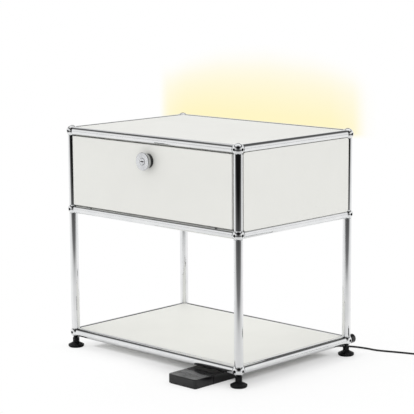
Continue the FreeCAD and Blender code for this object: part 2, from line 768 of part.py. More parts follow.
def make_inlet():
    """A round black socket screwed into the back hole of the lowest right ball."""
    cap_r = "dim.inlet_diameter / 2"
    ball_end = f"{BALL_R} + dim.inlet_cup_gap"
    cup_r = f"{cap_r} - dim.inlet_cup_wall"
    bore_r = "dim.inlet_bore / 2"
    bore_floor = "dim.inlet_end - dim.inlet_bore_depth"
    cap = turned("power_inlet", [
        ("0", "dim.stud_to_centre"),
        (STUD_R, "dim.stud_to_centre"),
        (STUD_R, ball_end),
        (cup_r, ball_end),
        (cup_r, "dim.inlet_start"),
        (cap_r, "dim.inlet_start"),
        (cap_r, "dim.inlet_end"),
        (bore_r, "dim.inlet_end"),
        (bore_r, bore_floor),
        ("0", bore_floor),
    ])
    as_node(place(cap, RIGHT, BACK, LOW, facing(Y_AXIS)), "power_inlet")


# Foot dimmer


def make_dimmer():
    half = "dim.dimmer_width / 2"
    seam_y = "(dim.dimmer_front_y + dim.pedal_length)"
    top_z = "dim.dimmer_height"

    def at_front(edge, bounds):
        return is_upright(edge) and abs(edge.BoundBox.YMin - bounds.YMin) < 1e-6

    def at_rear(edge, bounds):
        return is_upright(edge) and abs(edge.BoundBox.YMax - bounds.YMax) < 1e-6

    def shell(name, near, far, corner_edges):
        """A block between two places along Y, from the base's top to the dimmer's top, with rounded edges."""
        body = new_body(name)
        block = pad(body, outline(body, "XY_Plane", rectangle(f"-{half}", half, near, far)),
                    f"{top_z} - dim.dimmer_base")
        corners_done = round_edges(body, block, "dim.dimmer_corner", corner_edges, "corners")
        seam_edges = at_rear if corner_edges is at_front else at_front
        seam_done = round_edges(body, corners_done, "dim.seam_edge", seam_edges, "seam_edge")
        round_edges(body, seam_done, "dim.dimmer_edge", is_on_top, "top_edge")
        return place(body, "dim.dimmer_middle_x", "0", "dim.dimmer_base")

    as_node(shell("dimmer_housing", f"{seam_y} + dim.pedal_seam / 2", DIMMER_REAR, at_rear), "dimmer_housing")

    pedal_front, pedal_rear = "dim.dimmer_front_y", f"{seam_y} - dim.pedal_seam / 2"
    pedal = shell("pedal_shell", pedal_front, pedal_rear, at_front)
    wall = "dim.dimmer_wall"
    hollow_half = f"({half} - {wall})"
    hollow = rectangle(f"-{hollow_half}", hollow_half, f"{pedal_front} + {wall}", f"{pedal_rear} + 1")
    ceiling = f"{top_z} - dim.dimmer_base - {wall}"
    pocket(pedal, outline(pedal, "XY_Plane", hollow, "hollow"), ceiling, "hollowed", upwards=True)
    pedal_middle = "dim.dimmer_front_y + dim.pedal_length / 2"
    boss = cylinder("pedal_boss", "dim.pedal_boss / 2", f"{top_z} - {wall} / 2 - dim.pedal_boss_low",
                    "dim.dimmer_middle_x", pedal_middle, "dim.pedal_boss_low")
    as_node(fuse("pedal", pedal, boss), "dimmer_pedal")

    inset = "dim.dimmer_base_inset"
    base = new_body("base_plate")
    floor_plan = rectangle(f"-{half} + {inset}", f"{half} - {inset}", f"dim.dimmer_front_y + {inset}",
                           f"{DIMMER_REAR} - {inset}")
    plate = pad(base, outline(base, "XY_Plane", floor_plan), "dim.dimmer_base")
    round_edges(base, plate, f"dim.dimmer_corner - {inset}", lambda e, b: is_upright(e), "corners")
    place(base, "dim.dimmer_middle_x")
    recesses = []
    for side in "-+":
        recess_x = f"dim.dimmer_middle_x {side} ({half} - dim.base_screw_inset)"
        for end in ("dim.dimmer_front_y +", f"{DIMMER_REAR} -"):
            recess = cylinder(f"base_recess_{len(recesses)}", "dim.base_screw / 2", "2 * dim.base_screw_depth",
                              recess_x, f"{end} dim.base_screw_inset", "-dim.base_screw_depth")
            recesses.append(recess)
    as_node(cut("base_recessed", base, *recesses), "dimmer_base")

    switch_half = "dim.switch_width / 2"
    switch = box("switch_block", "dim.switch_width", "dim.switch_width", "dim.switch_top - dim.dimmer_base",
                 f"dim.dimmer_middle_x - {switch_half}", f"{pedal_middle} - {switch_half}", "dim.dimmer_base")
    as_node(switch, "dimmer_switch")

    relief = turned("cord_relief", relief_profile())
    place(relief, "dim.dimmer_middle_x", DIMMER_REAR, "dim.relief_axis_z", facing(Y_AXIS))
    as_node(relief, "cord_relief")


def relief_profile():
    """Half of the section of a tapered sleeve with ring grooves, which let it bend with the lead."""

    def sleeve_r(along):
        narrowed = f"(dim.relief_wide - dim.relief_narrow) / 2 * ({along}) / dim.relief_length"
        return f"(dim.relief_wide / 2 - {narrowed})"

    profile = [("0", "0"), ("dim.relief_wide / 2", "0")]
    for number in range(1, RELIEF_GROOVES + 1):
        start = f"dim.relief_length * {number} / {RELIEF_GROOVES + 1} - dim.relief_groove / 2"
        end = f"{start} + dim.relief_groove"
        profile += [
            (sleeve_r(start), start),
            (sleeve_r(start) + " - dim.relief_groove_depth", start),
            (sleeve_r(end) + " - dim.relief_groove_depth", end),
            (sleeve_r(end), end),
        ]
    return profile + [("dim.relief_narrow / 2", "dim.relief_length"), ("0", "dim.relief_length")]


# Supply lead


def bend_path(points):
    """Straight runs joined by tangent arcs, each as large as its two runs allow, and the arcs' radii."""
    edges, radii, start = [], [], points[0]
    for before, corner, after in zip(points, points[1:], points[2:]):
        arriving, leaving = corner - before, after - corner
        reach = ARC_SHARE * min(arriving.Length, leaving.Length)
        arriving.normalize()
        leaving.normalize()
        half_turn = arriving.getAngle(leaving) / 2
        radius = reach / math.tan(half_turn)
        inwards = (leaving - arriving).normalize()
        middle_of_arc = corner + inwards * (radius / math.cos(half_turn) - radius)
        arc_start, arc_end = corner - arriving * reach, corner + leaving * reach
        edges.append(Part.LineSegment(start, arc_start).toShape())
        edges.append(Part.Arc(arc_start, middle_of_arc, arc_end).toShape())
        radii.append(radius)
        start = arc_end
    edges.append(Part.LineSegment(start, points[-1]).toShape())
    return Part.Wire(edges), radii


def arc_from(start, tangent, end):
    """The arc that leaves start along tangent and ends at end."""
    chord = end - start
    length = chord.Length
    chord.normalize()
    half = tangent.getAngle(chord)
    towards = (tangent + chord).normalize()
    return Part.Arc(start, start + towards * (length / (2 * math.cos(half / 2))), end).toShape()


def biarc(start, start_tangent, end, end_tangent):
    """Two arcs that join smoothly and meet both tangents."""
    chord = end - start
    both = start_tangent + end_tangent
    spread = 2 * (1 - start_tangent.dot(end_tangent))
    along = chord.dot(both)
    reach = (-along + math.sqrt(along**2 + spread * chord.dot(chord))) / spread
    joint = (start + end) * 0.5 + (start_tangent - end_tangent) * (reach / 2)
    first = arc_from(start, start_tangent, joint)
    last = arc_from(end, -end_tangent, joint)
    return [first, last]


def coil_point(turned_by):
    """Where the lead is after that many turns of the coil, and its direction there."""
    middle_turn = size("coil_turns") / 2
    from_middle = turned_by - middle_turn
    inner = size("coil_radius") - middle_turn * size("coil_pitch")
    radius = inner + abs(from_middle) * size("coil_pitch")
    climbed = min(max(2 * from_middle + 0.5, 0), 1)
    angle = math.pi / 2 - 2 * math.pi * turned_by
    outwards = FreeCAD.Vector(math.cos(angle), math.sin(angle), 0)
    onwards = FreeCAD.Vector(math.sin(angle), -math.cos(angle), 0)
    centre = FreeCAD.Vector(size("coil_x"), size("coil_y"), coil_low)
    growth = math.copysign(size("coil_pitch") / (2 * math.pi), from_middle)
    direction = (onwards * radius + outwards * growth).normalize()
    return centre + outwards * radius + Z_AXIS * (climbed * size("coil_pitch")), direction


def coil_path():
    """Quarter turns in and out again, climbing one layer in the half turn where the spiral reverses."""
    turns, quarter = size("coil_turns"), 0.25
    stops = [turns / 2 - quarter, turns / 2 + quarter]
    while stops[0] > quarter:
        stops = [stops[0] - quarter, *stops, stops[-1] + quarter]
    stops = [0.0, *stops, turns]
    knots = [coil_point(stop) for stop in stops]
    knots[0] = (knots[0][0], X_AXIS)
    knots[-1] = (knots[-1][0], -Y_AXIS)
    first, last = knots[0][0], knots[-1][0]
    edges = [Part.LineSegment(first - X_AXIS * size("cord_diameter"), first).toShape()]
    for (start, start_way), (end, end_way) in zip(knots, knots[1:]):
        edges += biarc(start, start_way, end, end_way)
    edges.append(Part.LineSegment(last, last - Y_AXIS * size("coil_tail")).toShape())
    return Part.Wire(Part.__sortEdges__(edges))


def cord_tube(path):
    """A round tube along a path, with its volume tested against its section times its length."""
    first = path.OrderedEdges[0]
    start = path.OrderedVertexes[0].Point
    at_start = first.FirstParameter
    if (first.valueAt(at_start) - start).Length > 1e-6:
        at_start = first.LastParameter
    radius = size("cord_diameter") / 2
    ring = Part.Wire([Part.Circle(start, first.tangentAt(at_start), radius).toShape()])
    shell = Part.BRepOffsetAPI.MakePipeShell(path)
    shell.add(ring)
    shell.build()
    shell.makeSolid()
    tube = shell.shape()
    wanted = math.pi * radius**2 * path.Length
    if abs(tube.Volume - wanted) > VOLUME_TOLERANCE * wanted:
        raise ValueError(f"a cord's tube has {tube.Volume:.1f} mm3 and not {wanted:.1f} mm3")
    return tube


def least_gap(path):
    """The least distance between turns, surface to surface, measured on points of the middle line."""
    points = path.discretize(Distance=SAMPLE_STEP)
    apart = int(4 * size("cord_diameter") / SAMPLE_STEP)
    nearest = min(
        (points[i] - points[j]).Length
        for i in range(len(points))
        for j in range(i + apart, len(points))
    )
    return nearest - size("cord_diameter")


def make_cord():
    exit_y = size("dimmer_front_y") + size("dimmer_length") + size("relief_length")
    exit_point = FreeCAD.Vector(size("dimmer_middle_x"), exit_y, size("relief_axis_z"))
    on_floor = size("cord_diameter") / 2
    entry_x = size("coil_x") - size("cord_diameter")
    entry_y = size("coil_y") + size("coil_radius")
    into_coil = FreeCAD.Vector(entry_x, entry_y, coil_low)
    route = [exit_point, exit_point + Y_AXIS * CORD_STRAIGHT_OUT]
    route += [FreeCAD.Vector(x, y, on_floor) for x, y in CORD_FLOOR_ROUTE]
    route += [into_coil - X_AXIS * CORD_INTO_COIL, into_coil]
    path, radii = bend_path(route)
    print("lead: arc radii in mm", [round(radius) for radius in radii])
    run = doc.addObject("Part::Feature", "cord_run")
    run.Shape = cord_tube(path)
    as_node(run, "cord_run")

    turns = coil_path()
    print(f"coil: least gap between turns {least_gap(turns):.2f} mm")
    print(f"lead: {path.Length:.0f} mm laid out and {turns.Length:.0f} mm coiled")
    coil = doc.addObject("Part::Feature", "cord_coil")
    coil.Shape = cord_tube(turns)
    as_node(coil, "cord_coil")


def make_tie():
    """A flat strap round the bundle of turns, on the side of the coil towards the front."""
    cord_r = "dim.cord_diameter / 2"
    outer = f"(dim.coil_radius + {cord_r} + dim.tie_gap)"
    inner_turn = f"(dim.coil_radius - dim.coil_turns / 2 * dim.coil_pitch - {cord_r})"
    inner = f"(sqrt({inner_turn}^2 - (dim.tie_width / 2)^2) - dim.tie_gap)"
    tall = "(dim.cord_diameter + dim.coil_pitch + dim.tie_gap)"
    start_x = "dim.coil_x - dim.tie_width / 2"
    hole = box("tie_hole", "dim.tie_width", f"{outer} - {inner}", tall, start_x, f"dim.coil_y - {outer}",
               "dim.tie_sheet")
    strap = box("tie_strap", "dim.tie_width", f"{outer} - {inner} + 2 * dim.tie_sheet",
                f"{tall} + 2 * dim.tie_sheet", start_x, f"dim.coil_y - {outer} - dim.tie_sheet")
    as_node(cut("tie", strap, hole), "cord_tie")


def make_plug():
    """A flat two-pin plug beside the coil, with its narrow end on the lead."""
    half, collar = "dim.plug_width / 2", "dim.plug_collar / 2"
    long = "dim.plug_body_length"
    side = [
        (collar, "0"),
        (f"{collar} + 1", f"{long} * 0.3"),
        (f"{half} - 3", f"{long} * 0.55"),
        (half, f"{long} * 0.8"),
        (half, long),
    ]
    other_side = [(f"-({across})", along) for across, along in reversed(side)]
    axis_z = "(dim.tie_sheet + dim.tie_gap / 2 + dim.cord_diameter / 2 + dim.coil_pitch)"
    body = new_body("plug_body")
    block = pad(body, outline(body, "XY_Plane", side + other_side), f"2 * {axis_z}")
    rear_y = "dim.coil_y - dim.coil_tail"
    axis_x = "dim.coil_x + dim.coil_radius"
    round_edges(body, block, "dim.plug_edge",
                lambda e, b: (is_on_top(e, b) or is_lowest(e, b)) and e.BoundBox.YMax > b.YMin + 1e-6)
    as_node(place(body, axis_x, rear_y, f"2 * {axis_z}", FreeCAD.Rotation(X_AXIS, 180)), "plug_body")
    pins = []
    for name, side_x in (("left", "-dim.plug_pin_spacing / 2"), ("right", "dim.plug_pin_spacing / 2")):
        pins.append(cylinder("plug_pin_" + name, "dim.plug_pin_diameter / 2", "dim.plug_pin_length",
                             f"{axis_x} + {side_x}", f"{rear_y} - {long}", axis_z, -Y_AXIS))
    group("plug_pins", pins)


low = size("floor_to_grid")
middle = low + size("lower_height")
top = middle + size("upper_height")
half_width, half_depth = size("grid_width") / 2, size("grid_depth") / 2
corners = [(x, y) for x in (-half_width, half_width) for y in (-half_depth, half_depth)]
coil_low = size("tie_sheet") + size("tie_gap") / 2 + size("cord_diameter") / 2
KNOB_Z = TOP + " - dim.knob_drop"

make_balls()
make_tubes()
make_connectors()
make_panels()
make_door()
make_hinges()
make_knob()
make_lock()
make_strike()
make_feet()
make_light()
make_inlet()
make_dimmer()
make_cord()
make_tie()
make_plug()
doc.recompute()

for piece in doc.Objects:
    if "Invalid" in piece.State or "Error" in piece.State:
        raise ValueError(f"{piece.Label} failed: {piece.State}")
for piece in nodes:
    if piece.Shape.isNull() or not piece.Shape.isValid() or not piece.Shape.Solids:
        raise ValueError(f"{piece.Label} has no valid solid")

os.makedirs("parts", exist_ok=True)
for piece in nodes:
    piece.Shape.exportStep(f"parts/{piece.Label}.step")
print(f"{len(nodes)} nodes")
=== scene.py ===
import json
import math

import bpy
from mathutils import Matrix, Vector


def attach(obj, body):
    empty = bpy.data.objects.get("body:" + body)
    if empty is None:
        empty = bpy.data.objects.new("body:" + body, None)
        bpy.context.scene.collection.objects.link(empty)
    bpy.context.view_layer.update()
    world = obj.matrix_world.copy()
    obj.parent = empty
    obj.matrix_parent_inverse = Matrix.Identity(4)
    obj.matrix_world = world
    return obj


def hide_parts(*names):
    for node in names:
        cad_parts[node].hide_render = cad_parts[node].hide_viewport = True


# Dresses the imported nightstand: materials on every CAD node, the mains lead as one curve,
# and a white studio with the photograph's camera. Metres, in the CAD frame.

MM = 0.001

# Camera, fitted to the balls of the frame in the photograph
CAMERA_PLACE = Vector((2.3879, -2.4987, 0.8925))
CAMERA_FORWARD = Vector((-0.68250, 0.71274, -0.16185)).normalized()
CAMERA_ROLL = math.radians(-0.35)
CAMERA_LENS = 138.1
CAMERA_REACH = 50.0
SENSOR_WIDTH = 36.0

# Distances between the balls, in width and depth
GRID = (0.500, 0.350)
# A face of a ball nearer to its middle than this lies in a hole
HOLE_MOUTH = 0.0121
# A face of the lock plug further behind its front and nearer to its axis lies in the key slot
SLOT_MOUTH = 0.0005
SLOT_REACH = 0.006
# A face looks straight forward if its normal has less than this along the depth
FACES_FORWARD = -0.98

# The lead's route from the dimmer to the coil, and the coil, as in the part's source (mm)
CORD_DIAMETER = 4.2
CORD_EXIT = (160.5, -74.0, 8.0)
CORD_STRAIGHT_OUT = (160.5, -53.5, 8.0)
CORD_FLOOR_ROUTE = [
    (159.5, -12.0),
    (162.0, 30.0),
    (159.0, 76.0),
    (152.0, 122.0),
    (156.0, 166.0),
    (176.0, 206.0),
    (212.0, 236.5),
    (253.0, 246.5),
    (278.0, 245.5),
    (315.0, 261.0),
    (354.0, 276.0),
]
CORD_INTO_COIL = 30.0
COIL_CENTRE = (432.0, 250.0)
COIL_RADIUS = 35.0
COIL_PITCH = 4.75
COIL_TURNS = 8.25
COIL_CLIMB_TURNS = 0.5
COIL_TAIL = 24.0
TIE_SHEET = 0.8
TIE_GAP = 0.3
COIL_LOW = TIE_SHEET + TIE_GAP / 2 + CORD_DIAMETER / 2
# How finely the lead's curve is drawn
POINTS_PER_TURN = 36
CURVE_ORDER = 3
CURVE_STEPS = 8
BEVEL_STEPS = 5

# The part of a noise's range that most of its values lie in
NOISE_LOW, NOISE_HIGH = 0.3, 0.7
WARM_LIGHT = (1.0, 0.86, 0.55, 1.0)

# The studio. A ramp has stops of (value, brightness), and a span of values that it covers.
WHITE = (1, 1, 1, 1)
SKY_LIGHT = 1.0
FLOOR_REACH = 9.0
FLOOR_COLOUR = (0.95, 0.95, 0.95, 1)
CAMERA_SIDE = Vector((-CAMERA_FORWARD.x, -CAMERA_FORWARD.y, 0)).normalized()
# How much of the floor's shade the camera sees as plain white, by the distance from the outline of
# the frame, in metres outwards: shadows stay under the shelf and fade into the white around it,
# sooner on the left than on the right
WHITE_SPAN = (-0.1, 0.4)
WHITE_LEFT = [
    (-0.075, 0.06), (-0.045, 0.24), (-0.033, 0.36), (-0.023, 0.70), (0.0, 0.74), (0.02, 0.84),
    (0.045, 0.92), (0.065, 1.0),
]
WHITE_RIGHT = [
    (-0.075, 0.02), (-0.045, 0.10), (-0.032, 0.22), (-0.022, 0.46), (0.0, 0.46), (0.02, 0.50),
    (0.045, 0.64), (0.10, 0.80), (0.35, 1.0),
]
SIDES_SPAN = (-0.25, 0.25)
WHITE_SIDES = [(-0.06, 0.0), (0.12, 1.0)]
# What metal mirrors: brightness of the sky by the sine of its height, and of the floor by its
# distance in metres from the middle towards the camera, where the studio's white sheet ends
DIRECTION_SPAN = (-1.0, 1.0)
SKY_STOPS = [
    (-1.0, 0.02), (-0.01, 0.02), (0.01, 0.95), (0.44, 0.90), (0.55, 0.20), (0.62, 0.10),
    (0.72, 0.10), (0.78, 1.0),
]
FLOOR_SPAN = (0.0, 3.0)
FLOOR_STOPS = [
    (0.1, 0.92), (0.35, 0.79), (0.6, 0.72), (0.75, 0.64), (0.85, 0.51), (0.95, 0.36), (1.05, 0.24),
    (1.15, 0.18), (1.35, 0.15), (1.6, 0.11), (1.8, 0.09), (2.1, 0.06), (2.4, 0.025), (2.8, 0.008),
]
# Metal sees the photographer's dark end of the room in a wide patch of the sky, by the cosine of
# the angle from its middle
ROOM_STOPS = [(0.55, 1.0), (0.75, 0.45), (0.88, 0.06), (0.95, 0.02)]
ROOM_HEIGHT = 0.7
# Painted glow above the light bar, a warm tint in place of the light it throws: its sheet, and how
# it fades upwards and towards its ends (metres).
# Its height falls off from the middle, and it fades by the share of that height.
GLOW_PLANE = 0.19
GLOW_SHEET = (-0.36, 0.34, 0.44, 0.70)
GLOW_FOOT = 0.4915
GLOW_RISE = 0.165
PAINTED_GLOW_TINT = (1.0, 0.918, 0.545, 1.0)
HEIGHTS_SPAN = (0.0, 0.4)
GLOW_HEIGHTS = [(0.0, 1.06), (0.14, 1.0), (0.19, 0.94), (0.25, 0.85), (0.30, 0.74)]
ENDS_SPAN = (-0.4, 0.4)
GLOW_ENDS = [
    (-0.345, 0.0), (-0.337, 0.15), (-0.327, 0.42), (-0.317, 0.63), (-0.306, 0.74), (-0.286, 0.83),
    (-0.256, 0.92), (-0.19, 0.95), (0.19, 0.92), (0.25, 0.76), (0.261, 0.61), (0.269, 0.43),
    (0.2775, 0.29), (0.2855, 0.15), (0.2935, 0.07), (0.318, 0.0),
]
FADING_SPAN = (-0.5, 1.5)
GLOW_FADING = [
    (-0.09, 0.0), (0.0, 1.02), (0.14, 0.99), (0.29, 0.89), (0.43, 0.78), (0.57, 0.65), (0.71, 0.46),
    (0.86, 0.19), (0.97, 0.05), (1.06, 0.0),
]
# A sheet of light above, which only metal mirrors: left, right, front, back and height
SOFTBOX = (-1.5, 0.0, -0.13, 0.30, 1.0)
SOFTBOX_LIGHT = 0.7
# Lamps for matt surfaces: one over the object, and one for the light that reaches the shelf
TOP_LIGHT = {"place": (-0.3, 0.2, 2.4), "aim": (0, 0, 0.2), "size": (1.6, 1.6), "power": 3.3}
SHELF_LIGHT = {
    "place": (-0.03, 0.02, 0.305), "aim": (-0.03, 0.02, 0), "size": (0.42, 0.29), "power": 0.25,
}

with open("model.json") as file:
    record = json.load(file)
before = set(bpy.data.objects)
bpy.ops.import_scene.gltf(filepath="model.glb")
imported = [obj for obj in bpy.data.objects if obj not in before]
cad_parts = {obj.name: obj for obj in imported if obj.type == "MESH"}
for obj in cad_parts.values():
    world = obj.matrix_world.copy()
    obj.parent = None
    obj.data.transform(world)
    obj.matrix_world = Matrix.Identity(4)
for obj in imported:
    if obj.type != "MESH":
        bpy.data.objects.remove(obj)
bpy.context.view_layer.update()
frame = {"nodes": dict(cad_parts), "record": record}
nodes = frame["nodes"]
scene = bpy.context.scene


# Materials


def new_material(name):
    material = bpy.data.materials.new(name)
    material.use_nodes = True
    return material, material.node_tree, material.node_tree.nodes["Principled BSDF"]


def noise(tree, scale, detail, stretch=None):
    """A noise value in the object's own coordinates, with features of about 1 / scale metres."""
    source = tree.nodes.new("ShaderNodeTexCoord").outputs["Object"]
    if stretch:
        mapping = tree.nodes.new("ShaderNodeMapping")
        mapping.inputs["Scale"].default_value = stretch
        tree.links.new(source, mapping.inputs["Vector"])
        source = mapping.outputs["Vector"]
    texture = tree.nodes.new("ShaderNodeTexNoise")
    texture.inputs["Scale"].default_value = scale
    texture.inputs["Detail"].default_value = detail
    tree.links.new(source, texture.inputs["Vector"])
    return texture.outputs["Fac"]


def colour_by(tree, shader, value, first, last):
    """A base colour between two, by a noise."""
    ramp = tree.nodes.new("ShaderNodeValToRGB")
    ramp.color_ramp.elements[0].position = NOISE_LOW
    ramp.color_ramp.elements[0].color = (*first, 1.0)
    ramp.color_ramp.elements[1].position = NOISE_HIGH
    ramp.color_ramp.elements[1].color = (*last, 1.0)
    tree.links.new(value, ramp.inputs["Fac"])
    tree.links.new(ramp.outputs["Color"], shader.inputs["Base Color"])


def roughness_by(tree, shader, value, low, high):
    """A roughness from low to high, by a noise."""
    node = tree.nodes.new("ShaderNodeMapRange")
    node.inputs["From Min"].default_value = NOISE_LOW
    node.inputs["From Max"].default_value = NOISE_HIGH
    node.inputs["To Min"].default_value = low
    node.inputs["To Max"].default_value = high
    tree.links.new(value, node.inputs["Value"])
    tree.links.new(node.outputs["Result"], shader.inputs["Roughness"])


def bump(tree, shader, height, strength, distance):
    node = tree.nodes.new("ShaderNodeBump")
    node.inputs["Strength"].default_value = strength
    node.inputs["Distance"].default_value = distance
    tree.links.new(height, node.inputs["Height"])
    tree.links.new(node.outputs["Normal"], shader.inputs["Normal"])


def chrome():
    """Bright plating with the faint haze of handling."""
    material, tree, shader = new_material("chrome")
    shader.inputs["Metallic"].default_value = 1.0
    haze = noise(tree, scale=35.0, detail=4.0)
    colour_by(tree, shader, haze, (0.80, 0.81, 0.82), (0.86, 0.865, 0.87))
    roughness_by(tree, shader, haze, 0.02, 0.05)
    return material


def spun_chrome():
    """Chrome over a face turned on a lathe, with fine rings around the knob's axis."""
    material, tree, shader = new_material("spun_chrome")
    shader.inputs["Metallic"].default_value = 1.0
    haze = noise(tree, scale=60.0, detail=4.0)
    colour_by(tree, shader, haze, (0.78, 0.79, 0.81), (0.84, 0.85, 0.87))
    roughness_by(tree, shader, haze, 0.20, 0.26)
    shader.inputs["Anisotropic"].default_value = 0.8
    around = tree.nodes.new("ShaderNodeTangent")
    around.direction_type = "RADIAL"
    around.axis = "Y"
    tree.links.new(around.outputs["Tangent"], shader.inputs["Tangent"])
    return material


def turned_chrome_painted_shade():
    """Chrome over fine turning marks, on the sides of the knob, darkened as a painted shade of what
    they mirror.
    """
    material, tree, shader = new_material("turned_chrome_painted_shade")
    shader.inputs["Metallic"].default_value = 1.0
    marks = noise(tree, scale=900.0, detail=2.0, stretch=(0.05, 1.0, 0.05))
    colour_by(tree, shader, marks, (0.52, 0.53, 0.54), (0.62, 0.63, 0.64))
    roughness_by(tree, shader, marks, 0.16, 0.24)
    return material


def hole_steel_painted_shade():
    """Unplated steel inside the balls' tapped holes and the key slot, painted nearly black as the
    shade inside them.
    """
    material, tree, shader = new_material("hole_steel_painted_shade")
    shader.inputs["Metallic"].default_value = 0.6
    tone = noise(tree, scale=400.0, detail=3.0)
    colour_by(tree, shader, tone, (0.012, 0.012, 0.013), (0.035, 0.034, 0.033))
    roughness_by(tree, shader, tone, 0.45, 0.65)
    return material


def panel_paint():
    """Powder coat: an even warm white with a very fine orange peel."""
    material, tree, shader = new_material("panel_paint")
    cloud = noise(tree, scale=9.0, detail=2.0)
    colour_by(tree, shader, cloud, (0.80, 0.80, 0.765), (0.82, 0.82, 0.785))
    shader.inputs["Specular IOR Level"].default_value = 0.35
    peel = noise(tree, scale=850.0, detail=2.0)
    roughness_by(tree, shader, peel, 0.42, 0.56)
    bump(tree, shader, peel, strength=0.12, distance=0.0002)
    return material


def plain_steel():
    """Zinc plating with its uneven sheen."""
    material, tree, shader = new_material("plain_steel")
    shader.inputs["Metallic"].default_value = 1.0
    mottle = noise(tree, scale=180.0, detail=4.0)
    colour_by(tree, shader, mottle, (0.52, 0.53, 0.55), (0.68, 0.68, 0.67))
    roughness_by(tree, shader, mottle, 0.28, 0.46)
    return material


def black_plastic():
    """Moulded black with a fine eroded grain."""
    material, tree, shader = new_material("black_plastic")
    tone = noise(tree, scale=60.0, detail=3.0)
    colour_by(tree, shader, tone, (0.004, 0.004, 0.005), (0.008, 0.008, 0.009))
    shader.inputs["Specular IOR Level"].default_value = 0.5
    grain = noise(tree, scale=1600.0, detail=2.0)
    roughness_by(tree, shader, grain, 0.13, 0.20)
    bump(tree, shader, grain, strength=0.15, distance=0.0001)
    return material


def foot_rubber():
    """Matt black of the moulded feet."""
    material, tree, shader = new_material("foot_rubber")
    tone = noise(tree, scale=90.0, detail=3.0)
    colour_by(tree, shader, tone, (0.003, 0.003, 0.004), (0.007, 0.007, 0.008))
    shader.inputs["Specular IOR Level"].default_value = 0.15
    grain = noise(tree, scale=1400.0, detail=2.0)
    roughness_by(tree, shader, grain, 0.34, 0.48)
    bump(tree, shader, grain, strength=0.15, distance=0.0001)
    return material


def black_cord():
    """Smooth black sheath, a little scuffed."""
    material, tree, shader = new_material("black_cord")
    tone = noise(tree, scale=120.0, detail=4.0)
    colour_by(tree, shader, tone, (0.005, 0.005, 0.006), (0.010, 0.010, 0.011))
    roughness_by(tree, shader, tone, 0.42, 0.60)
    return material


def opal_plastic():
    """Opal lens, evenly lit from behind."""
    material, tree, shader = new_material("opal_plastic")
    milk = noise(tree, scale=300.0, detail=2.0)
    colour_by(tree, shader, milk, (0.93, 0.90, 0.82), (0.96, 0.94, 0.88))
    shader.inputs["Roughness"].default_value = 0.35
    shader.inputs["Emission Color"].default_value = WARM_LIGHT
    shader.inputs["Emission Strength"].default_value = 1.2
    return material


def channel_aluminium():
    """Extruded aluminium with drawing lines along the bar."""
    material, tree, shader = new_material("channel_aluminium")
    shader.inputs["Metallic"].default_value = 1.0
    lines = noise(tree, scale=600.0, detail=3.0, stretch=(0.01, 1.0, 1.0))
    colour_by(tree, shader, lines, (0.68, 0.68, 0.69), (0.80, 0.80, 0.81))
    roughness_by(tree, shader, lines, 0.30, 0.45)
    return material


def lamp_board():
    """White solder mask."""
    material, tree, shader = new_material("lamp_board")
    tone = noise(tree, scale=200.0, detail=2.0)
    colour_by(tree, shader, tone, (0.80, 0.80, 0.77), (0.86, 0.86, 0.84))
    shader.inputs["Roughness"].default_value = 0.4
    return material


def lamp_chips():
    """Yellow phosphor under clear resin, lit."""
    material, tree, shader = new_material("lamp_chips")
    tone = noise(tree, scale=900.0, detail=2.0)
    colour_by(tree, shader, tone, (0.92, 0.74, 0.22), (0.97, 0.84, 0.36))
    shader.inputs["Roughness"].default_value = 0.2
    shader.inputs["Emission Color"].default_value = WARM_LIGHT
    shader.inputs["Emission Strength"].default_value = 2.0
    return material


MATERIALS = {
    "chromed_steel": chrome(),
    "panel_paint": panel_paint(),
    "plain_steel": plain_steel(),
    "black_plastic": black_plastic(),
    "black_cord": black_cord(),
    "opal_plastic": opal_plastic(),
    "channel_aluminium": channel_aluminium(),
    "board": lamp_board(),
    "lamp_chips": lamp_chips(),
}


def nodes_named(start):
    return [piece for name, piece in nodes.items() if name.startswith(start)]


def dress_nodes():
    """Each CAD node gets the material of its slot in the record, and some faces their own."""
    slots = {entry["node"]: entry["material_slot"] for entry in frame["record"]["subparts"]}
    for name, piece in nodes.items():
        piece.data.materials.clear()
        piece.data.materials.append(MATERIALS[slots[name]])
    spin_faces([nodes["knob_cap"], nodes["lock_plug"]])
    rubber = foot_rubber()
    for piece in nodes_named("foot_"):
        piece.data.materials[0] = rubber
    # The insides of the balls' holes and of the key slot are painted near black as shade.
    steel = hole_steel_painted_shade()
    darken_holes(nodes_named("balls_"), steel)
    darken_key_slot(nodes["lock_plug"], steel)


def spin_faces(pieces):
    """The faces that look straight forward were finished on a lathe, and the sides get chrome
    darkened as painted shade.
    """
    spun, shaded_sides = spun_chrome(), turned_chrome_painted_shade()
    for piece in pieces:
        piece.data.materials[0] = shaded_sides
        piece.data.materials.append(spun)
        for face in piece.data.polygons:
            if face.normal.y < FACES_FORWARD:
                face.material_index = 1


def darken_holes(balls, steel):
    """The faces inside a ball lie nearer to its middle than its surface, and get the painted shade
    of its hole.
    """
    for piece in balls:
        mesh = piece.data
        mesh.materials.append(steel)
        middle_height = sum(vertex.co.z for vertex in mesh.vertices) / len(mesh.vertices)
        for face in mesh.polygons:
            across = abs(face.center.x) - GRID[0] / 2
            deep = abs(face.center.y) - GRID[1] / 2
            if Vector((across, deep, face.center.z - middle_height)).length < HOLE_MOUTH:
                face.material_index = 1


def darken_key_slot(plug, steel):
    """The faces inside the key slot lie behind the plug's front and within its rim, and get the
    painted shade of the slot.
    """
    mesh = plug.data
    mesh.materials.append(steel)
    inside = len(mesh.materials) - 1
    along = list(zip(*(vertex.co for vertex in mesh.vertices)))
    low, high = Vector([min(values) for values in along]), Vector([max(values) for values in along])
    middle = (low + high) / 2
    for face in mesh.polygons:
        from_axis = math.hypot(face.center.x - middle.x, face.center.z - middle.z)
        if face.center.y > low.y + SLOT_MOUTH and from_axis < SLOT_REACH:
            face.material_index = inside


# Mains lead


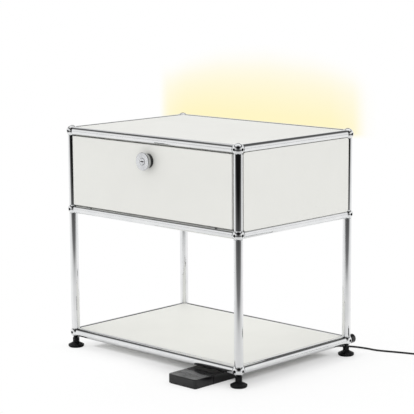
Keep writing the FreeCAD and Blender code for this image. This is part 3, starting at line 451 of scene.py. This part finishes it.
def coil_points():
    """The turns of the coil: in on the lower layer, up in the middle, out on the upper layer."""
    middle_turn = COIL_TURNS / 2
    inner = COIL_RADIUS - middle_turn * COIL_PITCH
    steps = round(COIL_TURNS * POINTS_PER_TURN)
    points = []
    for step in range(steps + 1):
        turned = step / POINTS_PER_TURN
        from_middle = turned - middle_turn
        radius = inner + abs(from_middle) * COIL_PITCH
        climbed = min(max(from_middle / COIL_CLIMB_TURNS + 0.5, 0), 1)
        angle = math.pi / 2 - 2 * math.pi * turned
        points.append((
            COIL_CENTRE[0] + radius * math.cos(angle),
            COIL_CENTRE[1] + radius * math.sin(angle),
            COIL_LOW + climbed * COIL_PITCH,
        ))
    return points


def lead_points():
    """From the dimmer over the floor, through the coil, to the plug."""
    on_floor = CORD_DIAMETER / 2
    into_coil = (COIL_CENTRE[0] - CORD_DIAMETER, COIL_CENTRE[1] + COIL_RADIUS, COIL_LOW)
    points = [CORD_EXIT, CORD_STRAIGHT_OUT]
    points += [(x, y, on_floor) for x, y in CORD_FLOOR_ROUTE]
    points += [(into_coil[0] - CORD_INTO_COIL, into_coil[1], into_coil[2])]
    points += coil_points()
    last = points[-1]
    points += [(last[0], last[1] - COIL_TAIL, last[2])]
    return points


def make_lead():
    curve = bpy.data.curves.new("mains_lead", "CURVE")
    curve.dimensions = "3D"
    curve.bevel_depth = CORD_DIAMETER / 2 * MM
    curve.bevel_resolution = BEVEL_STEPS
    curve.use_fill_caps = True
    curve.resolution_u = CURVE_STEPS
    spline = curve.splines.new("NURBS")
    points = lead_points()
    spline.points.add(len(points) - 1)
    for point, (x, y, z) in zip(spline.points, points):
        point.co = (x * MM, y * MM, z * MM, 1.0)
    spline.order_u = CURVE_ORDER
    spline.use_endpoint_u = True
    lead = bpy.data.objects.new("mains_lead", curve)
    scene.collection.objects.link(lead)
    curve.materials.append(MATERIALS["black_cord"])
    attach(lead, "frame")
    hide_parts("cord_run", "cord_coil")


# Studio


def make_camera():
    data = bpy.data.cameras.new("camera")
    data.lens = CAMERA_LENS
    data.sensor_width = SENSOR_WIDTH
    data.clip_end = CAMERA_REACH
    camera = bpy.data.objects.new("camera", data)
    scene.collection.objects.link(camera)
    level_right = CAMERA_FORWARD.cross(Vector((0, 0, 1))).normalized()
    level_up = level_right.cross(CAMERA_FORWARD)
    right = level_right * math.cos(CAMERA_ROLL) + level_up * math.sin(CAMERA_ROLL)
    up = right.cross(CAMERA_FORWARD)
    turn = Matrix((right, up, -CAMERA_FORWARD)).transposed().to_4x4()
    camera.matrix_world = Matrix.Translation(CAMERA_PLACE) @ turn
    scene.camera = camera


def feed(tree, socket, value):
    """Links another node's output to a socket, or sets it to a plain value."""
    if isinstance(value, bpy.types.NodeSocket):
        tree.links.new(value, socket)
    else:
        socket.default_value = value


def math_node(tree, operation, first, second):
    node = tree.nodes.new("ShaderNodeMath")
    node.operation = operation
    feed(tree, node.inputs[0], first)
    feed(tree, node.inputs[1], second)
    return node.outputs["Value"]


def grey_ramp(tree, value, span, stops):
    """A grey between stops of (value, brightness), for values within the span."""
    low, high = span
    scaled = tree.nodes.new("ShaderNodeMapRange")
    scaled.inputs["From Min"].default_value = low
    scaled.inputs["From Max"].default_value = high
    tree.links.new(value, scaled.inputs["Value"])
    ramp = tree.nodes.new("ShaderNodeValToRGB")
    elements = ramp.color_ramp.elements
    while len(elements) < len(stops):
        elements.new(1.0)
    for element, (place, grey) in zip(elements, stops):
        element.position = (place - low) / (high - low)
        element.color = (grey, grey, grey, 1)
    tree.links.new(scaled.outputs["Result"], ramp.inputs["Fac"])
    return ramp.outputs["Color"]


def along_direction(tree, vector, direction):
    node = tree.nodes.new("ShaderNodeVectorMath")
    node.operation = "DOT_PRODUCT"
    node.inputs[1].default_value = direction
    tree.links.new(vector, node.inputs[0])
    return node.outputs["Value"]


def background(tree, strength, colour=WHITE):
    node = tree.nodes.new("ShaderNodeBackground")
    feed(tree, node.inputs["Color"], colour)
    feed(tree, node.inputs["Strength"], strength)
    return node.outputs["Background"]


def choose(tree, factor, first, second):
    """The first shader where the factor is 0, and the second where it is 1."""
    node = tree.nodes.new("ShaderNodeMixShader")
    tree.links.new(factor, node.inputs["Fac"])
    tree.links.new(first, node.inputs[1])
    tree.links.new(second, node.inputs[2])
    return node.outputs["Shader"]


def blend(tree, factor, first, second):
    """A colour between two, which are colours or sockets."""
    node = tree.nodes.new("ShaderNodeMix")
    node.data_type = "RGBA"
    tree.links.new(factor, node.inputs["Factor"])
    for name, value in (("A", first), ("B", second)):
        feed(tree, next(s for s in node.inputs if s.name == name and s.type == "RGBA"), value)
    return next(s for s in node.outputs if s.type == "RGBA")


def make_world():
    """White to the camera, an even sky to matt surfaces, and a studio with dark gaps to metal."""
    world = bpy.data.worlds.new("studio")
    scene.world = world
    world.use_nodes = True
    tree = world.node_tree
    tree.nodes.clear()
    output = tree.nodes.new("ShaderNodeOutputWorld")
    where = tree.nodes.new("ShaderNodeTexCoord").outputs["Generated"]
    height = along_direction(tree, where, (0, 0, 1))
    mirrored = grey_ramp(tree, height, DIRECTION_SPAN, SKY_STOPS)
    room_side = (CAMERA_SIDE + Vector((0, 0, ROOM_HEIGHT))).normalized()
    room = grey_ramp(tree, along_direction(tree, where, room_side), DIRECTION_SPAN, ROOM_STOPS)
    light_path = tree.nodes.new("ShaderNodeLightPath")
    unseen = choose(
        tree,
        light_path.outputs["Is Glossy Ray"],
        background(tree, SKY_LIGHT),
        background(tree, room, mirrored),
    )
    whole = choose(tree, light_path.outputs["Is Camera Ray"], unseen, background(tree, 1.0))
    tree.links.new(whole, output.inputs["Surface"])


def stage_sheet(name, corners):
    """A flat thing of the studio, with a material that has no shader yet."""
    mesh = bpy.data.meshes.new(name)
    mesh.from_pydata(corners, [], [(0, 1, 2, 3)])
    sheet = bpy.data.objects.new(name, mesh)
    scene.collection.objects.link(sheet)
    material, tree, shader = new_material(name)
    tree.nodes.remove(shader)
    mesh.materials.append(material)
    return sheet, tree


def level_corners(left, right, front, back, height):
    return [
        (left, front, height), (right, front, height), (right, back, height), (left, back, height),
    ]


def set_surface(tree, shader):
    tree.links.new(shader, tree.nodes["Material Output"].inputs["Surface"])


def make_floor():
    """A white floor that keeps the object's shadow.

    Metal mirrors it as a sheet that ends before the camera.
    """
    corners = level_corners(-FLOOR_REACH, FLOOR_REACH, -FLOOR_REACH, FLOOR_REACH, 0)
    tree = stage_sheet("floor", corners)[1]
    light_path = tree.nodes.new("ShaderNodeLightPath")
    where = tree.nodes.new("ShaderNodeTexCoord").outputs["Object"]
    nearer = along_direction(tree, where, CAMERA_SIDE)
    matt = tree.nodes.new("ShaderNodeBsdfDiffuse")
    matt.inputs["Color"].default_value = FLOOR_COLOUR
    mirrored = tree.nodes.new("ShaderNodeBsdfDiffuse")
    tree.links.new(grey_ramp(tree, nearer, FLOOR_SPAN, FLOOR_STOPS), mirrored.inputs["Color"])
    white = tree.nodes.new("ShaderNodeEmission")
    split = tree.nodes.new("ShaderNodeSeparateXYZ")
    tree.links.new(where, split.inputs["Vector"])
    beyond = [
        math_node(tree, "SUBTRACT", math_node(tree, "ABSOLUTE", split.outputs[axis], 0), length / 2)
        for axis, length in zip("XY", GRID)
    ]
    outwards = math_node(tree, "MAXIMUM", *beyond)
    whiteness = blend(
        tree,
        grey_ramp(tree, split.outputs["X"], SIDES_SPAN, WHITE_SIDES),
        grey_ramp(tree, outwards, WHITE_SPAN, WHITE_LEFT),
        grey_ramp(tree, outwards, WHITE_SPAN, WHITE_RIGHT),
    )
    seen = math_node(tree, "MULTIPLY", light_path.outputs["Is Camera Ray"], whiteness)
    lit = choose(tree, seen, matt.outputs["BSDF"], white.outputs["Emission"])
    whole = choose(tree, light_path.outputs["Is Glossy Ray"], lit, mirrored.outputs["BSDF"])
    set_surface(tree, whole)


def make_glow():
    """Painted glow: a warm tint in place of the light that the bar throws upwards.

    A clear sheet behind the top edge only tints what is behind it.
    """
    left, right, low, high = GLOW_SHEET
    outline = ((left, low), (right, low), (right, high), (left, high))
    sheet, tree = stage_sheet("glow", [(x, GLOW_PLANE, z) for x, z in outline])
    sheet.visible_diffuse = False
    sheet.visible_glossy = False
    sheet.visible_transmission = False
    sheet.visible_shadow = False
    split = tree.nodes.new("ShaderNodeSeparateXYZ")
    tree.links.new(tree.nodes.new("ShaderNodeTexCoord").outputs["Object"], split.inputs["Vector"])
    from_middle = math_node(tree, "ABSOLUTE", split.outputs["X"], 0)
    above_tube = math_node(tree, "SUBTRACT", split.outputs["Z"], GLOW_FOOT)
    height = grey_ramp(tree, from_middle, HEIGHTS_SPAN, GLOW_HEIGHTS)
    share = math_node(tree, "DIVIDE", above_tube, math_node(tree, "MULTIPLY", height, GLOW_RISE))
    fading = grey_ramp(tree, share, FADING_SPAN, GLOW_FADING)
    ends = grey_ramp(tree, split.outputs["X"], ENDS_SPAN, GLOW_ENDS)
    strength = math_node(tree, "MULTIPLY", fading, ends)
    clear = tree.nodes.new("ShaderNodeBsdfTransparent")
    tree.links.new(blend(tree, strength, WHITE, PAINTED_GLOW_TINT), clear.inputs["Color"])
    set_surface(tree, clear.outputs["BSDF"])


def make_softbox():
    """The sheet of light that the front tubes mirror above their dark line."""
    card, tree = stage_sheet("softbox", level_corners(*SOFTBOX))
    card.visible_camera = False
    card.visible_diffuse = False
    card.visible_transmission = False
    card.visible_shadow = False
    light = tree.nodes.new("ShaderNodeEmission")
    light.inputs["Strength"].default_value = SOFTBOX_LIGHT
    set_surface(tree, light.outputs["Emission"])


def area_light(name, place, aim, size, power):
    data = bpy.data.lights.new(name, "AREA")
    data.shape = "RECTANGLE"
    data.size, data.size_y = size
    data.energy = power
    lamp = bpy.data.objects.new(name, data)
    scene.collection.objects.link(lamp)
    lamp.location = place
    lamp.rotation_euler = (Vector(aim) - Vector(place)).to_track_quat("-Z", "Y").to_euler()
    lamp.visible_camera = False
    lamp.visible_glossy = False


dress_nodes()
make_lead()
make_camera()
make_world()
make_floor()
make_glow()
make_softbox()
area_light("top_light", **TOP_LIGHT)
area_light("shelf_light", **SHELF_LIGHT)
scene.view_settings.view_transform = "Standard"
